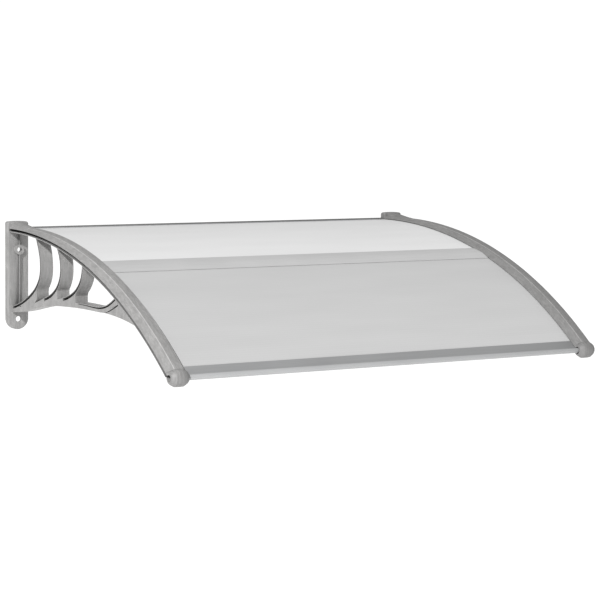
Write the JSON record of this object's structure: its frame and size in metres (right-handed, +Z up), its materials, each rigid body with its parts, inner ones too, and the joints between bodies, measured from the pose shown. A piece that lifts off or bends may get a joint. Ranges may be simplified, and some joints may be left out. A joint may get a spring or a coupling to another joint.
{
  "type": "door canopy",
  "caption": "Arched door canopy: two moulded wall brackets with curved slats carry hollow clear sheets between a rear bar and a beaded front bar.",
  "frame": {"origin": "on the wall plane, midway between the two brackets, at the height of the rear seal", "axes": "+X along the wall, towards the right-hand bracket as seen from outside; +Y into the wall; +Z up. The canopy reaches out along -Y."},
  "size_m": [1.2, 0.8941, 0.3142],
  "materials": {
    "bracket_plastic": "satin, with faint silvery flow marks of the moulding",
    "rear_sheet": "hollow twin-wall sheet, translucent, with fine lines along its flutes",
    "front_sheet": "hollow twin-wall sheet, translucent, with fine lines along its flutes",
    "joiner": "satin extrusion",
    "bar_aluminium": "satin anodised extrusion",
    "seal_rubber": "matte",
    "screw_steel": "zinc plated"
  },
  "bodies": {
    "root": {"left_bracket": "bracket_plastic", "right_bracket": "bracket_plastic", "left_front_cap": "bracket_plastic", "right_front_cap": "bracket_plastic", "rear_sheet": "rear_sheet", "front_sheet": "front_sheet", "middle_joiner": "joiner", "front_bar": "bar_aluminium", "rear_bar": "bar_aluminium", "rear_wall_seal": "seal_rubber", "left_cap_screw": "screw_steel", "right_cap_screw": "screw_steel", "left_rear_bar_screw": "screw_steel", "right_rear_bar_screw": "screw_steel"}
  },
  "joints": []
}
